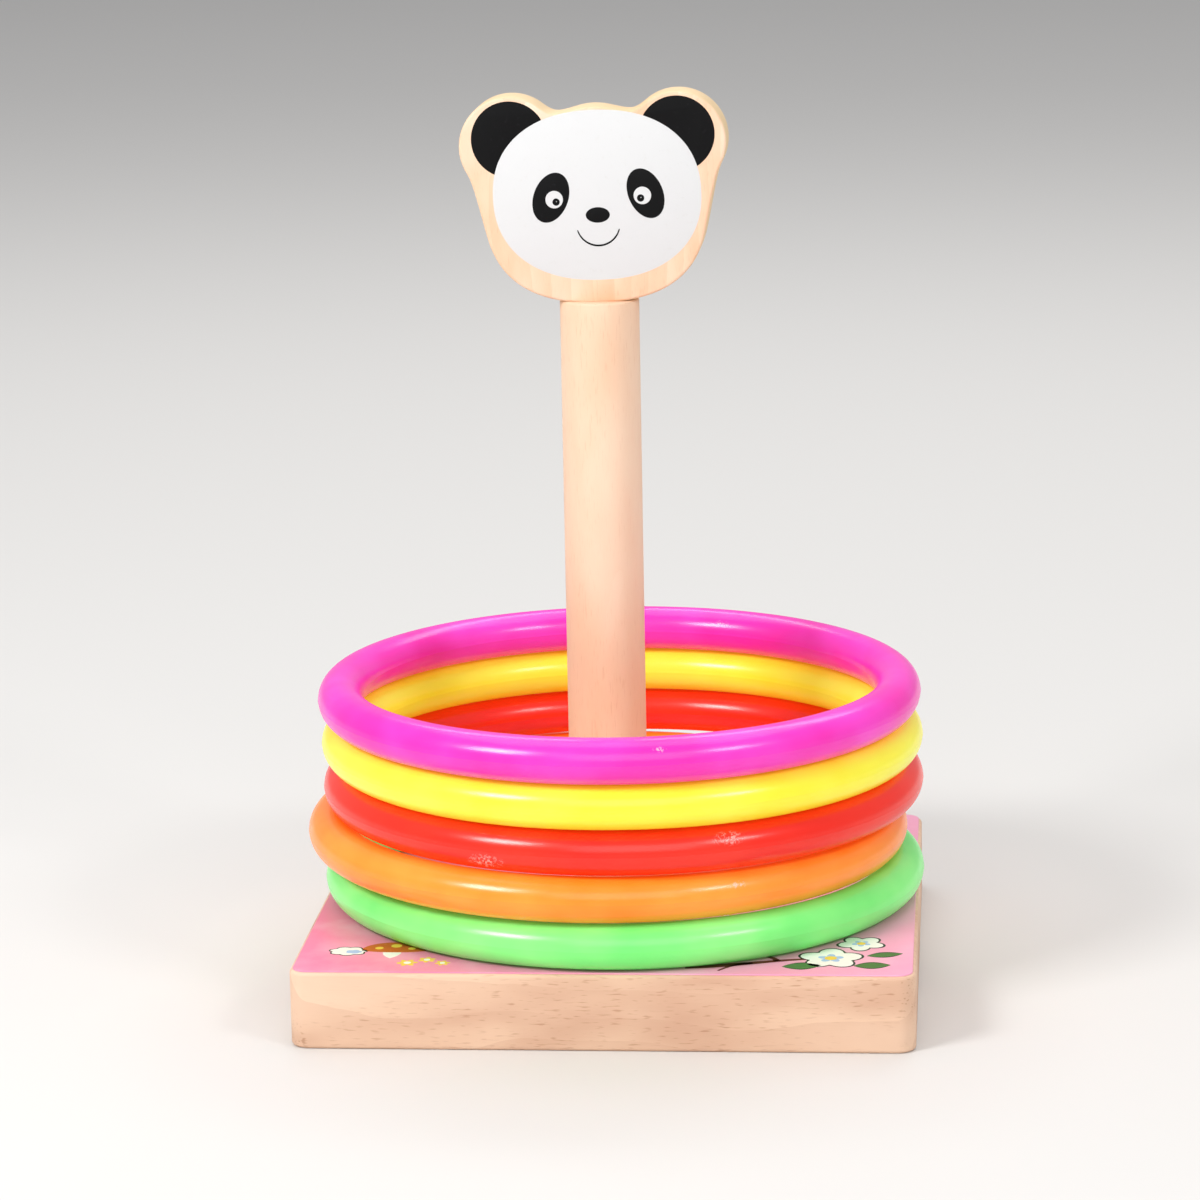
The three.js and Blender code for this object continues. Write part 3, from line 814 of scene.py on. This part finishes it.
# Panda head, in mm from the chin: x to the right, z up. One half is drawn, and the other mirrors it.
head = {"tilt": -1.5, "shift": 0.4, "seat": 0.4, "crown": 48, "valley": (8.9, 46.5), "cheek": (26.1, 14.5),
        "ear": (20.5, 38.9), "earRadius": 12.2, "earFrom": -30, "earTo": 128, "curveSteps": 22,
        "earSteps": 40, "arris": 0.7, "pinHole": 3.5, "pinHoleTop": 12.9}
headLow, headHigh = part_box("head_plaque")
headPlace = (Matrix.Translation((postMiddle.x, postMiddle.y, postHigh.z - head["seat"] * mm))
             @ Matrix.Rotation(math.radians(head["tilt"]), 4, "Y"))
headFront = headLow.y


def headHalf():
    earX, earZ = head["ear"]
    start, end = math.radians(head["earFrom"]), math.radians(head["earTo"])

    # a point on the ear's arc, or ahead of it along its tangent
    def onEar(angle, ahead=0):
        return (earX + head["earRadius"] * math.cos(angle) - ahead * math.sin(angle),
                earZ + head["earRadius"] * math.sin(angle) + ahead * math.cos(angle))

    valleyX, valleyZ = head["valley"]
    curves = [
        [(0, 0), (13.5, 0), (22.6, 4.2), head["cheek"]],
        [head["cheek"], (27.9, 20.5), onEar(start, -3.8), onEar(start)],
        [onEar(end), onEar(end, 2), (valleyX + 1.4, valleyZ), (valleyX, valleyZ)],
        [(valleyX, valleyZ), (6.4, valleyZ), (3.6, head["crown"]), (0, head["crown"])],
    ]
    jaw, cheek, temple, crown = [
        geometry.interpolate_bezier(*[Vector(p) for p in corners], head["curveSteps"])
        for corners in curves]
    steps = head["earSteps"]
    ear = [Vector(onEar(start + (end - start) * i / steps)) for i in range(steps + 1)]
    return jaw + cheek[1:] + ear[1:] + temple[1:] + crown[1:]


def headOutline(inset):
    half = headHalf()
    points = half + [Vector((-p.x, p.y)) for p in half[-2:0:-1]]
    count = len(points)
    drawnIn = []
    for i, point in enumerate(points):
        way = points[(i + 1) % count] - points[i - 1]
        inward = Vector((-way.y, way.x)).normalized()
        drawnIn.append(point + inward * inset + Vector((head["shift"], 0)))
    return drawnIn


def onHead(x, z, y):
    placed = headPlace @ Vector((x * mm, 0, z * mm))
    return Vector((placed.x, y, placed.z))


def makeHead():
    roundover = rounded(head["arris"], 5)
    levels = [(inset, headLow.y + depth * mm) for inset, depth in reversed(roundover)]
    levels += [(inset, headHigh.y - depth * mm) for inset, depth in roundover]
    loops = []
    for inset, y in levels:
        loop = [onHead(p.x, p.y, y) for p in headOutline(inset)]
        for point in loop:
            # the chin is planed flat for the post, and nothing rises above the crown
            point.z = min(max(point.z, postHigh.z), headHigh.z)
        loops.append(loop)
    holeTop = headPlace @ Vector((0, 0, head["pinHoleTop"] * mm))
    hole = lofted([circle(postMiddle, head["pinHole"] * mm, z, evenAngles(48))
                   for z in (postHigh.z - 2 * mm, holeTop.z)], capped=True)
    bm = cutAway(lofted(loops, capped=True), hole)
    wood = sandedBeech("sawnBeechHead", headWood)
    finishPiece("head_board", bm, wood, stand, ["head_plaque"])


makeHead()

# The face: inks laid on the wood and on each other, in mm from the prints' own middle line.
# left and right eye: x, z and lean in degrees. white and pupil: mm towards the nose, up, radius, from the
# patch's middle. glint: mm to the right, up, radius, from the pupil's middle.
faceShape = {"shift": 1.05, "z": 26.55, "halfWidth": 25.5, "halfHeight": 20.8, "power": 2.25, "ink": 0.05}
ears = {"x": 20.45, "shift": -0.45, "z": 40.8, "radius": 9.3, "ink": 0.04}
eyes = {"halfWidth": 4.25, "halfHeight": 6.35, "left": (-11.3, 26.3, -22.5), "right": (11.9, 26.6, 21),
        "white": (0.8, -0.5, 2.15), "pupil": (1.25, -1.1, 0.92), "glint": (0.1, 0.12, 0.15)}
mouth = {"nose": (0, 21.7), "noseHalf": (2.95, 1.9), "smileZ": 19.5, "smileRadius": 5.3, "smileWidth": 0.45,
         "endDegrees": 15, "smileSteps": 40, "softEdge": 0.03}


def oval(x, z, halfWidth, halfHeight, leanDegrees=0, power=2, count=96):
    lean = math.radians(leanDegrees)
    points = []
    for a in evenAngles(count):
        across = halfWidth * math.copysign(abs(math.cos(a)) ** (2 / power), math.cos(a))
        up = halfHeight * math.copysign(abs(math.sin(a)) ** (2 / power), math.sin(a))
        points.append(Vector((x + across * math.cos(lean) - up * math.sin(lean),
                              z + across * math.sin(lean) + up * math.cos(lean))))
    return points


def faceOutline(count):
    return oval(0, faceShape["z"], faceShape["halfWidth"], faceShape["halfHeight"], 0, faceShape["power"],
                count)


# A flat film of ink with a soft edge. The depths are how far it stands out from the wood, in mm.
def inkFilm(outline, fromDepth, toDepth, softEdge=0.06):
    count = len(outline)
    levels = [(0, fromDepth), (0, 0.5 * (fromDepth + toDepth)), (softEdge, toDepth)]
    loops = [[] for level in levels]
    for i, point in enumerate(outline):
        way = outline[(i + 1) % count] - outline[i - 1]
        inward = Vector((-way.y, way.x)).normalized()
        for loop, (inset, depth) in zip(loops, levels):
            p = point + inward * inset
            loop.append(onHead(p.x + faceShape["shift"], p.y, headFront - depth * mm))
    return lofted(loops, capped=True)


def insideFace(point):
    across = abs(point.x) / faceShape["halfWidth"]
    up = abs(point.y - faceShape["z"]) / faceShape["halfHeight"]
    return across ** faceShape["power"] + up ** faceShape["power"] < 1


# a disc, cut off where the white of the face begins
def earOutline(side):
    earX = side * ears["x"] + ears["shift"]
    arc = oval(earX, ears["z"], ears["radius"], ears["radius"], 0, 2, 240)
    outside = [not insideFace(p) for p in arc]
    first = next(i for i in range(len(arc)) if outside[i] and not outside[i - 1])
    arc = [p for p in arc[first:] + arc[:first] if not insideFace(p)]
    shared = [p for p in faceOutline(720) if math.dist(p, (earX, ears["z"])) < ears["radius"]]
    return arc + sorted(shared, key=lambda p: math.dist(p, arc[-1]))


def smileOutline():
    end, steps = math.radians(mouth["endDegrees"]), mouth["smileSteps"]
    outer, inner = [], []
    for i in range(steps + 1):
        a = math.pi + end + (math.pi - 2 * end) * i / steps
        half = mouth["smileWidth"] / 2 * (0.5 + 0.5 * math.sin(math.pi * i / steps) ** 0.5)
        for line, radius in ((outer, mouth["smileRadius"] + half), (inner, mouth["smileRadius"] - half)):
            line.append(Vector((radius * math.cos(a), mouth["smileZ"] + radius * math.sin(a))))
    return outer + inner[::-1]


def makeEye(sideName, side, white, black):
    film = faceShape["ink"]
    x, z, lean = eyes[sideName]
    patch = inkFilm(oval(x, z, eyes["halfWidth"], eyes["halfHeight"], lean), film, 2 * film)
    finishPiece("eye_black_" + sideName, patch, black, stand, ["eye_patch_" + sideName])
    inward, up, whiteRadius = eyes["white"]
    whiteSpot = (x - side * inward, z + up)
    inward, up, pupilRadius = eyes["pupil"]
    pupilSpot = (x - side * inward, z + up)
    right, up, glintRadius = eyes["glint"]
    glintSpot = (pupilSpot[0] + right, pupilSpot[1] + up)
    # the white, the pupil and the glint are each laid on the one before
    discs = [("white", whiteSpot, whiteRadius, white), ("pupil", pupilSpot, pupilRadius, black),
             ("glint", glintSpot, glintRadius, white)]
    for level, (part, spot, radius, ink) in enumerate(discs):
        disc = inkFilm(oval(*spot, radius, radius, 0, 2, 48), film, (3 + level) * film)
        finishPiece("eye_" + part + "_" + sideName, disc, ink, stand, ())


def makeFace():
    white = screenedInk("screenedWhiteInk", inks["whiteInk"])
    black = screenedInk("screenedBlackInk", inks["blackInk"])
    film = faceShape["ink"]
    face = inkFilm(faceOutline(192), 0, film)
    finishPiece("face_white", face, white, stand, ["face_print"])
    for sideName, side in (("left", -1), ("right", 1)):
        ear = inkFilm(earOutline(side), 0, ears["ink"])
        finishPiece("ear_black_" + sideName, ear, black, stand, ["ear_print_" + sideName])
        makeEye(sideName, side, white, black)
    nose = inkFilm(oval(*mouth["nose"], *mouth["noseHalf"]), film, 2 * film)
    finishPiece("nose_black", nose, black, stand, ["nose_print"])
    smile = inkFilm(smileOutline(), film, 2 * film, mouth["softEdge"])
    finishPiece("smile_black", smile, black, stand, ["smile_print"])


makeFace()
print("head and face made")

# Rings, in mm: one hollow blow-moulded tube each, with a fine seam where the mould closed, and a blow hole
# at the back of the inner side.
tube = {"wall": 1.2, "seamHeight": 0.06, "seamWidth": 0.35, "aroundSteps": 288, "tubeSteps": 44,
        "insideSteps": 24, "blowHole": 1.1, "drillPast": 0.5, "outOfRound": 0.25, "outOfRoundWaves": 1.3}


# profile: angle round the tube, and distance from the tube's middle
def torusLoops(ringRadius, profile, steps):
    loops = []
    for a in evenAngles(steps):
        out = Vector((math.sin(a), -math.cos(a), 0))
        loops.append([out * (ringRadius + r * math.cos(t)) + Vector((0, 0, r * math.sin(t)))
                      for t, r in profile])
    return loops


def tubeProfile(tubeRadius):
    skinRadius = tubeRadius - tube["seamHeight"] * mm
    halfSeam = tube["seamWidth"] * mm / 2 / tubeRadius
    steps = tube["tubeSteps"] // 2
    profile = []
    # one seam runs round the outside of the ring, and one round the inside
    for seam in (0, math.pi):
        profile += [(seam - halfSeam, skinRadius), (seam, tubeRadius), (seam + halfSeam, skinRadius)]
        first, last = seam + 3 * halfSeam, seam + math.pi - 3 * halfSeam
        profile += [(first + (last - first) * i / steps, skinRadius) for i in range(steps + 1)]
    return profile


def hollowRing(ringRadius, tubeRadius):
    wall = tube["wall"] * mm
    outside = lofted(torusLoops(ringRadius, tubeProfile(tubeRadius), tube["aroundSteps"]), closed=True)
    bore = [(t, tubeRadius - wall) for t in evenAngles(tube["insideSteps"])][::-1]
    inside = lofted(torusLoops(ringRadius, bore, tube["aroundSteps"] // 2), closed=True)
    reach = wall + tube["drillPast"] * mm
    drill = lofted([circle(Vector((0, 0, 0)), tube["blowHole"] * mm, z, evenAngles(24))
                    for z in (-reach, reach)], capped=True)
    drill.transform(Matrix.Translation((0, ringRadius - tubeRadius + wall / 2, 0))
                    @ Matrix.Rotation(math.pi / 2, 4, "X"))
    return cutAway(joined(outside, inside), drill)


def makeRings():
    low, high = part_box("ring_green")
    tubeRadius = (high.z - low.z) / 2
    ringRadius = (high.x - low.x) / 2 - tubeRadius
    master = bpy.data.meshes.new("ringMaster")
    shell = hollowRing(ringRadius, tubeRadius)
    shell.to_mesh(master)
    shell.free()
    for number, (node, look) in enumerate(rings.items()):
        low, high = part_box(node)
        leanX, leanY = (math.radians(degrees) for degrees in look["lean"])
        place = (Matrix.Translation((low + high) / 2) @ Matrix.Rotation(leanX, 4, "Y")
                 @ Matrix.Rotation(-leanY, 4, "X"))
        bm = bmesh.new()
        bm.from_mesh(master)
        for vertex in bm.verts:
            angle = math.atan2(vertex.co.y, vertex.co.x)
            waves = tube["outOfRoundWaves"]
            spot = Vector((waves * math.cos(angle), waves * math.sin(angle), 7.0 * number))
            shrink = 1 - tube["outOfRound"] * mm * (0.5 + 0.5 * noise.noise(spot)) / ringRadius
            vertex.co = place @ Vector((vertex.co.x * shrink, vertex.co.y * shrink, vertex.co.z))
        colourName = node.removeprefix("ring_")
        finish = mouldedPlastic("mouldedPolyethylene_" + colourName, look, place, ringRadius, tubeRadius)
        finishPiece("hollow_" + node, bm, finish, node, [node], 50)
    bpy.data.meshes.remove(master)


makeRings()
print("rings made")

# Matte pale floor, in metres.
floor = {"colour": "#dcdad7", "size": 16, "roughness": 0.85}


def makeFloor():
    material, add = newMaterial("matteFloor")
    shader = add("BsdfPrincipled", {"Base Color": linear(floor["colour"]),
                                    "Roughness": floor["roughness"]})
    add("OutputMaterial", {}, {"Surface": shader})
    half = floor["size"] / 2
    bm = bmesh.new()
    bm.faces.new([bm.verts.new((x * half, y * half, 0)) for x, y in [(-1, -1), (1, -1), (1, 1), (-1, 1)]])
    ground = linked("floor", bm)
    ground.data.materials.append(material)


# Softboxes: degrees round from the front, degrees up, metres away, width, height, watts.
lights = {
    "key": (-46, 37, 1.15, 0.34, 0.26, 7.1),
    "fill": (50, 36, 1.3, 0.3, 0.2, 3.2),
    "top": (180, 76, 3, 3.2, 2.2, 30),
    "front": (8, 30, 1.9, 1.5, 1, 8),
    "rim": (176, 47, 1.5, 1.3, 0.3, 5),
}
sky = {"colour": "#fbfcff", "strength": 0.42}
aimHeight = 60


def makeLights():
    aim = Vector((0, 0, aimHeight * mm))
    for name, (turn, lift, away, width, height, power) in lights.items():
        turn, lift = math.radians(turn), math.radians(lift)
        level = math.cos(lift)
        towards = Vector((math.sin(turn) * level, -math.cos(turn) * level, math.sin(lift)))
        lamp = bpy.data.lights.new(name, "AREA")
        lamp.shape = "RECTANGLE"
        lamp.size, lamp.size_y, lamp.energy = width, height, power
        holder = bpy.data.objects.new(name, lamp)
        holder.location = aim + towards * away
        holder.rotation_euler = (-towards).to_track_quat("-Z", "Y").to_euler()
        scene.collection.objects.link(holder)
    world = bpy.data.worlds.new("studio")
    world.use_nodes = True
    background = world.node_tree.nodes["Background"]
    background.inputs["Color"].default_value = linear(sky["colour"])
    background.inputs["Strength"].default_value = sky["strength"]
    scene.world = world
    scene.view_settings.view_transform = "Standard"


# Camera, in degrees and mm. target is from the middle of the board's footprint.
view = {"target": (-4.7, 2.5, 93.7), "azimuth": 4.98, "elevation": 12.47, "roll": -1.08, "away": 1077,
        "lens": 128.8, "sensor": 36}


def makeCamera():
    a, e, roll = (math.radians(view[key]) for key in ("azimuth", "elevation", "roll"))
    back = Vector((math.sin(a) * math.cos(e), -math.cos(a) * math.cos(e), math.sin(e)))
    right = Vector((math.cos(a), math.sin(a), 0))
    up = back.cross(right)
    rolledRight = right * math.cos(roll) + up * math.sin(roll)
    rolledUp = up * math.cos(roll) - right * math.sin(roll)
    target = Vector((boardMiddle.x, boardMiddle.y, 0)) + Vector(view["target"]) * mm
    spot = target + back * view["away"] * mm
    camera = bpy.data.objects.new("camera", bpy.data.cameras.new("camera"))
    camera.data.lens = view["lens"]
    camera.data.sensor_width = view["sensor"]
    camera.data.clip_start, camera.data.clip_end = 0.05, 50
    facing = Matrix((rolledRight, rolledUp, back)).transposed().to_4x4()
    camera.matrix_world = Matrix.Translation(spot) @ facing
    scene.collection.objects.link(camera)
    scene.camera = camera


makeFloor()
makeLights()
makeCamera()
print("floor, lights and camera made")
